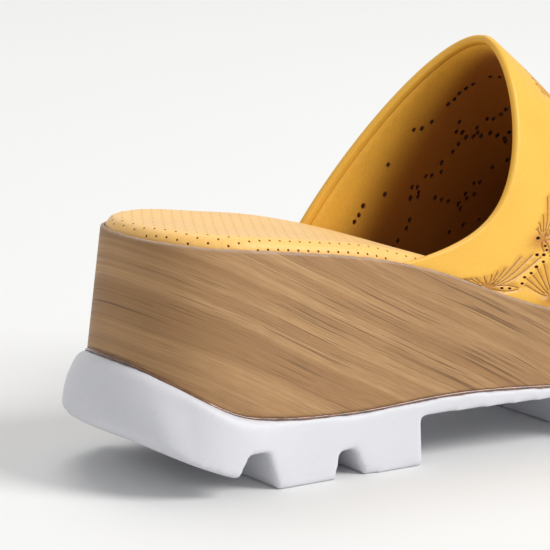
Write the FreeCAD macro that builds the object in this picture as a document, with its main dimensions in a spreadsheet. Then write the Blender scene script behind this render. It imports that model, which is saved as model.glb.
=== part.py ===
import FreeCAD, Part
import math
import os

# A right-foot slip-on wedge clog.  Millimetres, +X heel to toe, +Y to the big-toe side, +Z up.
# Pieces are drawn in the last maker's frame (x = 0 at the heel of the footbed, z = 0 on the floor)
# and their Placement then moves the origin to the middle of the footprint.

doc = FreeCAD.newDocument("wedge_clog")

# Driving dimensions: alias, value, meaning.
dimensionRows = (
    ("inside_length", 248.0, "footbed, heel to toe"),
    ("heel_half_width", 31.0, "half width of the footbed at the heel"),
    ("heel_round", 34.0, "length of the rounded heel end"),
    ("toe_round", 60.0, "length of the rounded toe end"),
    ("end_fullness", 2.25, "exponent of both rounded ends, 2 is an ellipse"),
    ("toe_shift", 7.0, "how far the toe tip moves to the big-toe side"),
    ("draft_top", 80.0, "height of the upper drafting outline"),
    ("rim_height", 74.0, "height at which the wall offset is only the wrap"),
    ("side_flare", 0.035, "outward lean of the wedge wall at the sides"),
    ("heel_flare", 0.12, "outward lean of the wedge wall at the back"),
    ("wrap_thickness", 1.3, "wood-look wrap"),
    ("sole_ledge_side", 0.8, "outsole ledge beside the wedge"),
    ("sole_ledge_heel", 2.0, "outsole ledge behind the wedge"),
    ("sole_kick_side", 1.2, "outsole foot outside the wedge wall, sides"),
    ("sole_kick_heel", 6.4, "outsole foot outside the wedge wall, heel"),
    ("tray_depth", 4.2, "tray floor below the rim"),
    ("filler_thickness", 2.2, "bottom filler between the margins"),
    ("board_thickness", 2.0, "insole board"),
    ("foam_thickness", 2.6, "comfort foam"),
    ("cover_thickness", 0.9, "perforated footbed cover"),
    ("cover_skirt", 1.6, "cover turned down beside the board"),
    ("foam_crown", 1.8, "rounding of the foam's top edge"),
    ("cover_crown", 2.2, "rounding of the cover's top edge"),
    ("leather_thickness", 1.3, "upper leather"),
    ("interlayer_thickness", 0.6, "tape, interlining and toe puff"),
    ("lining_thickness", 0.8, "upper lining"),
    ("margin_width", 13.0, "lasting margin under the insole board"),
    ("tuck_depth", 2.8, "upper below the rim, inside the wrap"),
    ("fit_gap", 0.1, "clearance between pieces that meet on curved faces"),
    ("body_width", 140.0, "width of the side-profile blocks"),
)

sheet = doc.addObject("Spreadsheet::Sheet", "dimensions")
for rowNumber, (alias, value, meaning) in enumerate(dimensionRows, start=1):
    sheet.set(f"A{rowNumber}", alias)
    sheet.set(f"B{rowNumber}", str(value))
    sheet.set(f"C{rowNumber}", meaning)
    sheet.setAlias(f"B{rowNumber}", alias)
doc.recompute()
size = {alias: float(sheet.get(alias)) for alias, value, meaning in dimensionRows}

# Half width of the footbed between its rounded ends: (x, half width).
outerSide = ((34, 31.0), (70, 31.7), (100, 33.7), (130, 36.9), (160, 40.2), (188, 41.2))
innerSide = ((34, 31.0), (70, 29.0), (100, 28.8), (130, 32.0), (160, 35.8), (188, 36.6))

# Side view curves: (x, z).
rimCurve = ((-20, 74.7), (0, 73.9), (14, 72.3), (30, 70.5), (44, 68.4), (58, 66.2), (72, 63.3),
            (85, 59.7), (96, 55.9), (106, 51.7), (121, 45.8), (140, 40.1), (165, 36.8), (195, 36.0),
            (225, 38.0), (262, 43.5))
jointCurve = ((-24, 38.6), (-14, 38.4), (-5, 37.6), (-0.6, 34.7), (2.5, 32.6), (7, 29.6), (12.3, 26.4),
              (18, 23.6), (27, 21.3), (35, 20.2), (49, 19.2), (66, 18.9), (84, 19.8), (105, 20.0),
              (127, 18.8), (160, 17.0), (200, 17.0), (230, 19.5), (266, 27.0))
heelStrikeCurve = ((-26, 18.2), (-14, 17.6), (-9, 16.7), (-5.8, 15.4), (-1.4, 13.1), (3.6, 10.7),
                   (9.2, 8.3), (18, 5.3))
toeSpringCurve = ((205, 0.0), (222, 1.4), (240, 5.6), (266, 16.0))

# Notches between the tread lugs: (x rear foot, z, x rear top, x front top, top height, x front foot, z).
treadNotches = (
    (16.4, 5.8, 19.9, 27.2, 12.0, 30.4, 1.9),
    (51.4, 0.0, 53.2, 58.4, 8.3, 61.6, 0.0),
    (82.6, 0.0, 81.8, 143.0, 15.2, 145.5, 0.0),
    (162.0, 0.0, 163.6, 168.4, 6.0, 170.0, 0.0),
    (183.0, 0.0, 184.6, 189.4, 6.0, 191.0, 0.0),
    (204.0, 0.0, 205.6, 210.4, 6.5, 212.0, 0.3),
)

# The upper is a row of arches from the toe (0) to the topline (1):
# (station, base x outer side, base x inner side, crown x, crown y, crown z,
#  fullness outer side, fullness inner side, uprightness outer side, sweep outer side, sweep inner side).
archStations = (
    (0.00, 246.5, 246.5, 248.4, 7.0, 38.3, 2.20, 2.20, 1.00, 1.00, 1.00),
    (0.06, 244.0, 244.0, 248.2, 7.0, 47.0, 2.20, 2.20, 1.00, 1.00, 1.00),
    (0.13, 236.0, 236.5, 244.5, 7.0, 58.0, 2.30, 2.30, 1.00, 1.00, 1.00),
    (0.22, 218.0, 219.0, 233.0, 7.0, 66.0, 2.40, 2.40, 1.00, 1.00, 1.00),
    (0.40, 180.0, 183.0, 204.0, 7.0, 72.5, 2.30, 2.45, 0.90, 0.98, 1.08),
    (0.60, 138.0, 141.0, 176.0, 7.3, 84.5, 2.05, 2.75, 0.70, 0.92, 1.16),
    (0.80, 103.0, 109.0, 158.0, 7.4, 103.5, 1.85, 3.10, 0.45, 0.84, 1.28),
    (1.00, 69.0, 78.0, 131.9, -0.6, 123.2, 1.75, 2.35, 0.29, 0.51, 1.10),
)
outerUpturn = 4


def throughPoints(points):
    """A smooth curve through (x, y) points, as a function of x."""
    curve = Part.BSplineCurve()
    curve.interpolate([FreeCAD.Vector(x, y, 0) for x, y in points],
                      Parameters=[float(x) for x, y in points])
    return lambda x: curve.value(min(max(x, points[0][0]), points[-1][0])).y


outerHalfWidth = throughPoints(outerSide)
innerHalfWidth = throughPoints(innerSide)
rimHeight = throughPoints(rimCurve)
archColumns = [throughPoints([(row[0], row[column]) for row in archStations])
               for column in range(1, len(archStations[0]))]


def smoothStep(t):
    t = min(max(t, 0.0), 1.0)
    return t * t * (3 - 2 * t)


def centreLine(x):
    return size["toe_shift"] * smoothStep((x - 120) / (size["inside_length"] - 120))


def halfWidth(x, side):
    """Half width of the footbed: side is -1 for the outer side of the foot, +1 for the inner."""
    sideCurve = outerHalfWidth if side < 0 else innerHalfWidth
    fullness = size["end_fullness"]
    toeStart = size["inside_length"] - size["toe_round"]
    if x < size["heel_round"]:
        reach = min((size["heel_round"] - x) / size["heel_round"], 1.0)
        return size["heel_half_width"] * (1 - reach ** fullness) ** (1 / fullness)
    if x > toeStart:
        reach = min((x - toeStart) / size["toe_round"], 1.0)
        return sideCurve(toeStart) * (1 - reach ** fullness) ** (1 / fullness)
    return sideCurve(x)


def heelShare(x):
    """1 at the back of the heel, 0 from the end of the heel round forwards."""
    return 1 - smoothStep(x / size["heel_round"])


def wallOffset(x, z):
    """How far the wrapped wedge wall stands outside the footbed outline at height z."""
    lean = size["side_flare"] + (size["heel_flare"] - size["side_flare"]) * heelShare(x)
    return size["wrap_thickness"] + (size["rim_height"] - z) * lean


def outlinePoints(offset):
    """Closed ring around the footbed, each point moved outwards by offset(x)."""
    endSteps = 8
    sideSteps = 10
    toeStart = size["inside_length"] - size["toe_round"]
    stations = [size["heel_round"] * (1 - math.cos(math.pi / 2 * i / endSteps)) for i in range(endSteps)]
    stations += [size["heel_round"] + (toeStart - size["heel_round"]) * i / sideSteps
                 for i in range(sideSteps)]
    stations += [toeStart + size["toe_round"] * math.sin(math.pi / 2 * i / endSteps)
                 for i in range(endSteps + 1)]
    outer = [(x, centreLine(x) - halfWidth(x, -1)) for x in stations]
    inner = [(x, centreLine(x) + halfWidth(x, 1)) for x in stations]
    ring = outer + inner[-2:0:-1]
    moved = []
    for i, (x, y) in enumerate(ring):
        before = ring[i - 1]
        after = ring[(i + 1) % len(ring)]
        alongX = after[0] - before[0]
        alongY = after[1] - before[1]
        length = math.hypot(alongX, alongY)
        moved.append(FreeCAD.Vector(x + alongY / length * offset(x), y - alongX / length * offset(x), 0))
    return moved


def closedCurve(points):
    curve = Part.BSplineCurve()
    curve.interpolate(points, PeriodicFlag=True)
    return curve


def openCurve(points):
    curve = Part.BSplineCurve()
    curve.interpolate([FreeCAD.Vector(x, z, 0) for x, z in points])
    return curve


def newBody(label):
    body = doc.addObject("PartDesign::Body", label)
    body.Label = label
    return body


def newSketch(body, role, name):
    """An empty sketch on one of the body's own origin planes."""
    plane = next(feature for feature in body.Origin.OriginFeatures if feature.Role == role)
    sketch = body.newObject("Sketcher::SketchObject", name)
    sketch.AttachmentSupport = [(plane, "")]
    sketch.MapMode = "FlatFace"
    return sketch


def addPolyline(sketch, points):
    for start, end in zip(points, points[1:]):
        sketch.addGeometry(Part.LineSegment(FreeCAD.Vector(*start, 0), FreeCAD.Vector(*end, 0)), False)


def addBand(sketch, upperCurve, lowerCurve):
    """A closed side-view band between two (x, z) curves that start and end at the same x."""
    sketch.addGeometry(openCurve(upperCurve), False)
    sketch.addGeometry(openCurve(lowerCurve), False)
    addPolyline(sketch, (upperCurve[0], lowerCurve[0]))
    addPolyline(sketch, (upperCurve[-1], lowerCurve[-1]))


def shiftCurve(points, rise):
    return tuple((x, z + rise) for x, z in points)


def draftedBlock(body, lowOffset, highOffset):
    """Loft between an outline on the floor and one at draft_top."""
    low = newSketch(body, "XY_Plane", body.Name + "_low_outline")
    low.addGeometry(closedCurve(outlinePoints(lowOffset)), False)
    high = newSketch(body, "XY_Plane", body.Name + "_high_outline")
    high.addGeometry(closedCurve(outlinePoints(highOffset)), False)
    high.setExpression("AttachmentOffset.Base.z", "dimensions.draft_top")
    loft = body.newObject("PartDesign::AdditiveLoft", body.Name + "_block")
    loft.Profile = low
    loft.Sections = [high]
    loft.Ruled = True
    return loft


def pocketThrough(body, sketch, name):
    """Cut a side-view sketch right through the body, both ways."""
    pocket = body.newObject("PartDesign::Pocket", name)
    pocket.Profile = sketch
    pocket.Type = "ThroughAll"
    pocket.Midplane = True
    return pocket


def cutAbove(body, curve, name):
    sketch = newSketch(body, "XZ_Plane", name + "_profile")
    roof = 2 * size["draft_top"]
    sketch.addGeometry(openCurve(curve), False)
    addPolyline(sketch, (curve[0], (curve[0][0], roof), (curve[-1][0], roof), curve[-1]))
    return pocketThrough(body, sketch, name)


def cutBelow(body, curve, name):
    sketch = newSketch(body, "XZ_Plane", name + "_profile")
    basement = -size["draft_top"]
    sketch.addGeometry(openCurve(curve), False)
    addPolyline(sketch, (curve[0], (curve[0][0], basement), (curve[-1][0], basement), curve[-1]))
    return pocketThrough(body, sketch, name)


def draftOffsets(inset):
    """Wedge wall offsets on the floor and at draft_top, moved inwards by inset."""
    return (lambda x: wallOffset(x, 0) - inset,
            lambda x: wallOffset(x, size["draft_top"]) - inset)


def makeOutsole():
    body = newBody("outsole")

    def foot(x):
        kick = size["sole_kick_side"] + (size["sole_kick_heel"] - size["sole_kick_side"]) * heelShare(x)
        return wallOffset(x, 12) + kick

    def shoulder(x):
        ledge = size["sole_ledge_side"] + (size["sole_ledge_heel"] - size["sole_ledge_side"]) * heelShare(x)
        return wallOffset(x, 36) + ledge

    # The wall passes through the foot outline at z 12 and the shoulder outline at z 36.
    footLevel = 12.0
    shoulderLevel = 36.0
    span = shoulderLevel - footLevel
    draftedBlock(body,
                 lambda x: foot(x) + (foot(x) - shoulder(x)) * footLevel / span,
                 lambda x: shoulder(x) - (foot(x) - shoulder(x)) * (size["draft_top"] - shoulderLevel) / span)
    cutAbove(body, jointCurve, "outsole_seat")
    cutBelow(body, heelStrikeCurve, "heel_strike")
    cutBelow(body, toeSpringCurve, "toe_spring")
    notches = newSketch(body, "XZ_Plane", "tread_notches_profile")
    for rearFoot, rearZ, rearTop, frontTop, topZ, frontFoot, frontZ in treadNotches:
        slopeRear = (rearTop - rearFoot) / (topZ - rearZ)
        slopeFront = (frontFoot - frontTop) / (topZ - frontZ)
        below = 4.0
        addPolyline(notches, ((rearFoot - slopeRear * (rearZ + below), -below), (rearTop, topZ),
                              (frontTop, topZ), (frontFoot + slopeFront * (frontZ + below), -below),
                              (rearFoot - slopeRear * (rearZ + below), -below)))
    pocketThrough(body, notches, "tread_notches")
    return body


def makeWedgeCore():
    body = newBody("wedge_core")
    low, high = draftOffsets(size["wrap_thickness"] + size["fit_gap"])
    draftedBlock(body, low, high)
    cutAbove(body, shiftCurve(rimCurve, -size["tray_depth"]), "tray_floor")
    cutBelow(body, jointCurve, "core_underside")
    return body


def makeWedgeWrap():
    body = newBody("wedge_wrap")
    draftedBlock(body, *draftOffsets(0.0))
    hollowLow, hollowHigh = draftOffsets(size["wrap_thickness"])
    low = newSketch(body, "XY_Plane", "wrap_low_hollow")
    low.addGeometry(closedCurve(outlinePoints(hollowLow)), False)
    high = newSketch(body, "XY_Plane", "wrap_high_hollow")
    high.addGeometry(closedCurve(outlinePoints(hollowHigh)), False)
    high.setExpression("AttachmentOffset.Base.z", "dimensions.draft_top")
    hollow = body.newObject("PartDesign::SubtractiveLoft", "wrap_hollow")
    hollow.Profile = low
    hollow.Sections = [high]
    hollow.Ruled = True
    cutAbove(body, rimCurve, "wrap_rim")
    cutBelow(body, jointCurve, "wrap_underside")
    return body


def layerInset(x, heelInset, foreInset):
    """Inset of a layer inside the wrap: more in the forefoot, where the upper passes beside it."""
    rimLean = wallOffset(x, rimHeight(x)) - size["wrap_thickness"]
    return rimLean - heelInset - (foreInset - heelInset) * smoothStep((x - 62) / 26)


def makeLayer(label, topRise, bottomRise, heelInset, foreInset, firstX=-20.0):
    """A sheet between two heights over the rim curve, cut to the footbed outline."""
    body = newBody(label)
    band = newSketch(body, "XZ_Plane", label + "_band")
    curve = [(x, z) for x, z in rimCurve if x > firstX]
    curve.insert(0, (firstX, rimHeight(firstX)))
    addBand(band, shiftCurve(curve, topRise), shiftCurve(curve, bottomRise))
    pad = body.newObject("PartDesign::Pad", label + "_block")
    pad.Profile = band
    pad.SideType = "Symmetric"
    pad.setExpression("Length", "dimensions.body_width")
    trim = newSketch(body, "XY_Plane", label + "_outline")
    reach = 2 * size["body_width"]
    corners = ((-reach, -reach), (reach, -reach), (reach, reach), (-reach, reach), (-reach, -reach))
    addPolyline(trim, corners)
    trim.addGeometry(closedCurve(outlinePoints(lambda x: layerInset(x, heelInset, foreInset))), False)
    pocketThrough(body, trim, label + "_trim")
    return body


def roundTopEdge(body, radiusAlias):
    """Round the outer edge of the top face, so that the sheet is crowned."""
    doc.recompute()
    tip = body.Tip
    topFace = max(tip.Shape.Faces, key=lambda face: face.CenterOfMass.z if face.Area > 5000 else 0)
    names = []
    for edge in topFace.Edges:
        names += [f"Edge{i}" for i, other in enumerate(tip.Shape.Edges, start=1) if other.isSame(edge)]
    fillet = body.newObject("PartDesign::Fillet", body.Name + "_crown")
    fillet.Base = (tip, names)
    fillet.setExpression("Radius", "dimensions." + radiusAlias)
    return fillet


def hollowOut(body, hollow):
    """Take the volume of another body out of this one."""
    cavity = body.newObject("PartDesign::Boolean", body.Name + "_cavity")
    cavity.Type = "Cut"
    cavity.addObject(hollow)
    return cavity


def joinParts(label, *parts):
    """One node made of solids that meet face to face."""
    joined = doc.addObject("Part::Compound", label)
    joined.Label = label
    joined.Links = parts
    return joined


def makeFootbed():
    heelInset = size["fit_gap"]
    upperStack = size["leather_thickness"] + size["interlayer_thickness"] + size["lining_thickness"]
    foreInset = upperStack + 4 * size["fit_gap"]
    cover = size["cover_thickness"]
    fillerTop = size["filler_thickness"] - size["tray_depth"]
    boardTop = fillerTop + size["board_thickness"]
    foamTop = boardTop + size["foam_thickness"]
    fillerInset = foreInset + size["margin_width"]
    filler = makeLayer("bottom_filler", fillerTop, -size["tray_depth"], heelInset, fillerInset)
    board = makeLayer("insole_board", boardTop, fillerTop, heelInset + cover, foreInset + cover)
    foam = makeLayer("footbed_foam", foamTop, boardTop, heelInset + cover, foreInset + cover)
    roundTopEdge(foam, "foam_crown")
    skirtBottom = boardTop - size["cover_skirt"]
    coverSheet = makeLayer("footbed_cover", foamTop + cover, skirtBottom, heelInset, foreInset)
    below = 3.0
    hollowOut(coverSheet, makeLayer("cover_hollow", foamTop, skirtBottom - below,
                                    heelInset + cover, foreInset + cover))
    roundTopEdge(coverSheet, "cover_crown")
    return [filler, board, foam, coverSheet]


def archPoint(station, across, depth, tuck):
    """A point of the upper, across running from -1 (outer feather edge) to +1 (inner feather edge)."""
    (outerBase, innerBase, crownX, crownY, crownZ, outerFull, innerFull,
     uprightness, outerSweep, innerSweep) = [column(station) for column in archColumns]
    rise = math.sin((1 - abs(across)) * math.pi / 2)
    if across < 0:
        side, baseX, fullness = -1, outerBase, outerFull
        forward = rise ** outerSweep
        upward = uprightness * rise + (1 - uprightness) * rise ** outerUpturn
    else:
        side, baseX, fullness = 1, innerBase, innerFull
        forward = rise ** innerSweep
        upward = rise
    inward = 1 - max(0.0, 1 - upward ** fullness) ** (1 / fullness)
    baseZ = rimHeight(baseX) - tuck
    gap = size["fit_gap"] + depth
    baseY = centreLine(baseX) + side * (halfWidth(baseX, side) + layerInset(baseX, gap, gap))
    slopeShare = 1.25
    toeShare = smoothStep((baseX - 225) / 20)
    crownX -= depth * toeShare
    crownZ -= slopeShare * depth * smoothStep((crownZ - baseZ) / 12)
    return FreeCAD.Vector(baseX + (crownX - baseX) * forward,
                          baseY + (crownY - baseY) * inward,
                          baseZ + (crownZ - baseZ) * upward)


def archSurface(depth, tuck, stations, across):
    rows = 21
    columns = 45
    grid = []
    for i in range(rows):
        station = stations[0] + (stations[1] - stations[0]) * i / (rows - 1)
        grid.append([archPoint(station, across[0] + (across[1] - across[0]) * j / (columns - 1), depth, tuck)
                     for j in range(columns)])
    surface = Part.BSplineSurface()
    surface.interpolate(grid)
    return surface


def makeShell(label, outerDepth, innerDepth, tuck, stations, across=(-1.0, 1.0)):
    """A closed sheet of the upper between two depths below its outer surface."""
    outer = archSurface(outerDepth, tuck, stations, across)
    inner = archSurface(innerDepth, tuck, stations, across)
    faces = [outer.toShape(), inner.toShape()]
    u1, u2, v1, v2 = outer.bounds()
    for u in (u1, u2):
        faces.append(Part.makeRuledSurface(outer.uIso(u).toShape(), inner.uIso(u).toShape()))
    for v in (v1, v2):
        faces.append(Part.makeRuledSurface(outer.vIso(v).toShape(), inner.vIso(v).toShape()))
    shell = Part.makeShell(faces)
    shell.sewShape()
    solid = Part.makeSolid(shell)
    if solid.Volume < 0:
        solid.reverse()
    piece = doc.addObject("Part::Feature", label)
    piece.Label = label
    piece.Shape = solid
    return piece


def makeMargin(label, topRise, bottomRise, outerInset, innerInset):
    """The lasting margin: the edge of the upper turned in under the insole board."""
    body = makeLayer(label, topRise, bottomRise, outerInset, outerInset, 92.0)
    ring = newSketch(body, "XY_Plane", label + "_inner_edge")
    ring.addGeometry(closedCurve(outlinePoints(lambda x: layerInset(x, innerInset, innerInset))), False)
    pocketThrough(body, ring, label + "_opening")
    return body


def makeUpper():
    gap = size["fit_gap"]
    leather = size["leather_thickness"]
    liningTop = leather + size["interlayer_thickness"]
    liningBottom = liningTop + size["lining_thickness"]
    tuck = size["tuck_depth"]
    leatherTop = -tuck
    boardBottom = size["filler_thickness"] - size["tray_depth"]
    innerEdge = gap + liningBottom + size["margin_width"]
    leatherWall = makeShell("leather_wall", 0.0, leather, tuck, (0.0, 1.0))
    leatherMargin = makeMargin("leather_margin", leatherTop, -size["tray_depth"], gap, innerEdge)
    liningTuck = -boardBottom
    liningWall = makeShell("lining_wall", liningTop, liningBottom, liningTuck, (0.0, 0.992))
    liningMargin = makeMargin("lining_margin", boardBottom, leatherTop, gap + liningTop, innerEdge)
    puff = makeShell("toe_puff", leather, liningTop, liningTuck, (0.03, 0.34), (-0.96, 0.96))
    interlining = makeShell("vamp_interlining", leather, liningTop, liningTuck, (0.36, 0.90), (-0.96, 0.96))
    tape = makeShell("topline_tape", leather, liningTop, liningTuck, (0.915, 0.985), (-0.93, 0.93))
    return [joinParts("upper_leather", leatherWall, leatherMargin),
            joinParts("upper_lining", liningWall, liningMargin), puff, interlining, tape]


outsole = makeOutsole()
pieces = [outsole, makeWedgeCore(), makeWedgeWrap()] + makeFootbed() + makeUpper()
doc.recompute()

# The origin is the middle of the footprint, on the floor.
footprint = outsole.Shape.optimalBoundingBox(False)
toRowFrame = FreeCAD.Placement(
    FreeCAD.Vector(-footprint.Center.x, -footprint.Center.y, -footprint.ZMin), FreeCAD.Rotation())
for piece in pieces:
    piece.Placement = toRowFrame.multiply(piece.Placement)
doc.recompute()

for item in doc.Objects:
    if "Invalid" in item.State or "Error" in item.State:
        raise RuntimeError(f"{item.Label} failed: {item.State}")
for piece in pieces:
    if piece.Shape.isNull() or not piece.Shape.isValid() or not piece.Shape.Solids:
        raise RuntimeError(f"{piece.Label} is not a valid solid")

os.makedirs("parts", exist_ok=True)
for piece in pieces:
    piece.Shape.exportStep(f"parts/{piece.Label}.step")
    box = piece.Shape.optimalBoundingBox(False)
    print(f"{piece.Label:18s} solids {len(piece.Shape.Solids)}  volume {piece.Shape.Volume:9.0f}"
          f"  x {box.XMin:7.1f} {box.XMax:7.1f}  y {box.YMin:6.1f} {box.YMax:6.1f}"
          f"  z {box.ZMin:6.1f} {box.ZMax:6.1f}")
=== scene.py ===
import math
import random

import bpy
import numpy as np
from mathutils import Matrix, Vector, noise
from mathutils.geometry import delaunay_2d_cdt
from mathutils.kdtree import KDTree


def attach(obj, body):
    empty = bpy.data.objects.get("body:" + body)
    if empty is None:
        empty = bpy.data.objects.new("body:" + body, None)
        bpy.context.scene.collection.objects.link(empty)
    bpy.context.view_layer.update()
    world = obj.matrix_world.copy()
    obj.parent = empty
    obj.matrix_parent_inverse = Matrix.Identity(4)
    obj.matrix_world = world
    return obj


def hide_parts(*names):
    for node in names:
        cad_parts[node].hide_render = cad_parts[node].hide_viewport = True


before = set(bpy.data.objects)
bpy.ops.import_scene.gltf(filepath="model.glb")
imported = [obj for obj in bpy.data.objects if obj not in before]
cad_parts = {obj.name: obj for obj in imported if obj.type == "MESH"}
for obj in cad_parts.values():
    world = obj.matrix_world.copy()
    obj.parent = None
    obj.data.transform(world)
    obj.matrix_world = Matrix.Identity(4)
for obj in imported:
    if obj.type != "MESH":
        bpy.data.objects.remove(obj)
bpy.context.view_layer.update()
print("frame loaded:", len(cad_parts), "nodes")

mm = 0.001

# The last's shape, in millimetres: x = 0 at the heel of the footbed, z = 0 on the floor.
lastShape = {
    "heelFromCentre": -119.68,      # row frame x of the heel of the footbed
    "middleFromCentre": -1.18,
    "insideLength": 248.0,
    "heelHalfWidth": 31.0,
    "heelRound": 34.0,
    "toeRound": 60.0,
    "endFullness": 2.25,
    "toeShift": 7.0,
    "toeShiftFrom": 120,
    "rimHeight": 74.0,
    "sideFlare": 0.035,
    "heelFlare": 0.12,
    "wrapThickness": 1.3,
    "fitGap": 0.1,
    "insetFrom": 62,        # where the footbed starts to draw in, and over what length
    "insetOver": 26,
    "outerSide": ((34, 31.0), (70, 31.7), (100, 33.7), (130, 36.9), (160, 40.2), (188, 41.2)),
    "innerSide": ((34, 31.0), (70, 29.0), (100, 28.8), (130, 32.0), (160, 35.8), (188, 36.6)),
    "rim": ((-20, 74.7), (0, 73.9), (14, 72.3), (30, 70.5), (44, 68.4), (58, 66.2), (72, 63.3),
            (85, 59.7), (96, 55.9), (106, 51.7), (121, 45.8), (140, 40.1), (165, 36.8), (195, 36.0),
            (225, 38.0), (262, 43.5)),
    "joint": ((-24, 38.6), (-14, 38.4), (-5, 37.6), (-0.6, 34.7), (2.5, 32.6), (7, 29.6), (12.3, 26.4),
              (18, 23.6), (27, 21.3), (35, 20.2), (49, 19.2), (66, 18.9), (84, 19.8), (105, 20.0),
              (127, 18.8), (160, 17.0), (200, 17.0), (230, 19.5), (266, 27.0)),
    "heelStrike": ((-26, 18.2), (-14, 17.6), (-9, 16.7), (-5.8, 15.4), (-1.4, 13.1), (3.6, 10.7),
                   (9.2, 8.3), (18, 5.3)),
}


def curveThrough(points):
    # natural cubic curve through (x, value) points
    xs, values = np.array(points, float).T
    gaps = np.diff(xs)
    count = len(xs)
    system = np.eye(count)
    right = np.zeros(count)
    for i in range(1, count - 1):
        system[i, i - 1:i + 2] = gaps[i - 1], 2 * (gaps[i - 1] + gaps[i]), gaps[i]
        right[i] = 6 * ((values[i + 1] - values[i]) / gaps[i] - (values[i] - values[i - 1]) / gaps[i - 1])
    bend = np.linalg.solve(system, right)

    def curve(x):
        x = np.clip(x, xs[0], xs[-1])
        i = np.clip(np.searchsorted(xs, x) - 1, 0, count - 2)
        before, after, gap = xs[i + 1] - x, x - xs[i], gaps[i]
        return ((bend[i] * before ** 3 + bend[i + 1] * after ** 3) / (6 * gap)
                + (values[i] / gap - bend[i] * gap / 6) * before
                + (values[i + 1] / gap - bend[i + 1] * gap / 6) * after)
    return curve


outerSide = curveThrough(lastShape["outerSide"])
innerSide = curveThrough(lastShape["innerSide"])
rimHeight = curveThrough(lastShape["rim"])
jointHeight = curveThrough(lastShape["joint"])
strikeHeight = curveThrough(lastShape["heelStrike"])


def smoothStep(t):
    t = np.clip(t, 0, 1)
    return t * t * (3 - 2 * t)


def centreLine(x):
    start = lastShape["toeShiftFrom"]
    return lastShape["toeShift"] * smoothStep((x - start) / (lastShape["insideLength"] - start))


def halfWidth(x, side):
    x = np.asarray(x, float)
    full = lastShape["endFullness"]
    toeStart = lastShape["insideLength"] - lastShape["toeRound"]
    sideCurve = outerSide if side < 0 else innerSide
    heelReach = np.clip((lastShape["heelRound"] - x) / lastShape["heelRound"], 0, 1)
    toeReach = np.clip((x - toeStart) / lastShape["toeRound"], 0, 1)
    heelEnd = (1 - heelReach ** full) ** (1 / full)
    toeEnd = (1 - toeReach ** full) ** (1 / full)
    return sideCurve(x) * heelEnd * toeEnd


def heelShare(x):
    return 1 - smoothStep(x / lastShape["heelRound"])


def wallOffset(x, z):
    # how far the wedge wall stands outside the footbed outline
    lean = lastShape["sideFlare"] + (lastShape["heelFlare"] - lastShape["sideFlare"]) * heelShare(x)
    return lastShape["wrapThickness"] + (lastShape["rimHeight"] - z) * lean


def layerInset(x, heelInset, foreInset):
    rimLean = wallOffset(x, rimHeight(x)) - lastShape["wrapThickness"]
    share = smoothStep((x - lastShape["insetFrom"]) / lastShape["insetOver"])
    return rimLean - heelInset - (foreInset - heelInset) * share


def toRow(points):
    # millimetres on the last to metres in the row frame
    shift = np.array((lastShape["heelFromCentre"], lastShape["middleFromCentre"], 0.0))
    return (np.asarray(points, float) + shift) * mm


def footRing(count):
    # closed ring round the footbed at even steps, and its outward normals
    toeStart = lastShape["insideLength"] - lastShape["toeRound"]
    turn = np.linspace(0, math.pi / 2, 60)
    xs = np.concatenate((lastShape["heelRound"] * (1 - np.cos(turn)),
                         np.linspace(lastShape["heelRound"], toeStart, 120)[1:-1],
                         toeStart + lastShape["toeRound"] * np.sin(turn)))
    outer = np.stack((xs, centreLine(xs) - halfWidth(xs, -1)), 1)
    inner = np.stack((xs, centreLine(xs) + halfWidth(xs, 1)), 1)
    ring = np.concatenate((outer, inner[-2:0:-1]))
    closed = np.vstack((ring, ring[:1]))
    along = np.concatenate(([0], np.cumsum(np.linalg.norm(np.diff(closed, axis=0), axis=1))))
    even = np.linspace(0, along[-1], count, endpoint=False)
    ring = np.stack([np.interp(even, along, closed[:, k]) for k in (0, 1)], 1)
    for sweep in range(10):  # takes the kinks out where the round ends meet the sides
        ring = (np.roll(ring, 1, 0) + 2 * ring + np.roll(ring, -1, 0)) / 4
    return ring, ringNormals(ring)


def ringNormals(ring):
    along = np.roll(ring, -1, 0) - np.roll(ring, 1, 0)
    along /= np.linalg.norm(along, axis=1)[:, None]
    return np.stack((along[:, 1], -along[:, 0]), 1)


ringCount = 560
ring, ringNormal = footRing(ringCount)


def ringPoints(offset, height):
    # one loop round the shoe, offset and height being functions of x
    x = ring[:, 0]
    for step in range(3):
        z = height(x)
        x = ring[:, 0] + ringNormal[:, 0] * offset(ring[:, 0], z)
    plan = ring + ringNormal * offset(ring[:, 0], z)[:, None]
    return np.column_stack((plan, z))


def noiseAt(points, scale, seed=0.0):
    # smooth noise from -1 to 1 at each point, scale in features per millimetre
    shift = Vector((seed, seed * 1.7, -seed))
    return np.array([noise.noise(Vector(p) * scale + shift) for p in points])


def facesOutward(points, faces):
    volume = sum(np.dot(points[face[0]], np.cross(points[face[k]], points[face[k + 1]]))
                 for face in faces for k in range(1, len(face) - 1))
    return volume > 0


def newPiece(name, points, faces):
    if not facesOutward(points, faces):
        faces = [face[::-1] for face in faces]
    mesh = bpy.data.meshes.new(name)
    mesh.from_pydata(toRow(points).tolist(), [], [list(map(int, face)) for face in faces])
    mesh.validate()
    mesh.shade_smooth()
    piece = bpy.data.objects.new(name, mesh)
    bpy.context.scene.collection.objects.link(piece)
    return piece


def paint(piece, name, values):
    # a value at each corner of the mesh, for a material to read
    layer = piece.data.attributes.new(name, "FLOAT", "POINT")
    layer.data.foreach_set("value", np.asarray(values, np.float32))


def loopFaces(loopCount, pointCount):
    # quads between consecutive loops of equal length, the last joined to the first
    faces = []
    for row in range(loopCount):
        a = row * pointCount
        b = (row + 1) % loopCount * pointCount
        for i in range(pointCount):
            j = (i + 1) % pointCount
            faces.append((a + i, a + j, b + j, b + i))
    return faces


def addNode(tree, kind, **values):
    node = tree.nodes.new(kind)
    for key, value in values.items():
        if hasattr(node, key):
            setattr(node, key, value)
        else:
            node.inputs[key.replace("_", " ")].default_value = value
    return node


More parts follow.
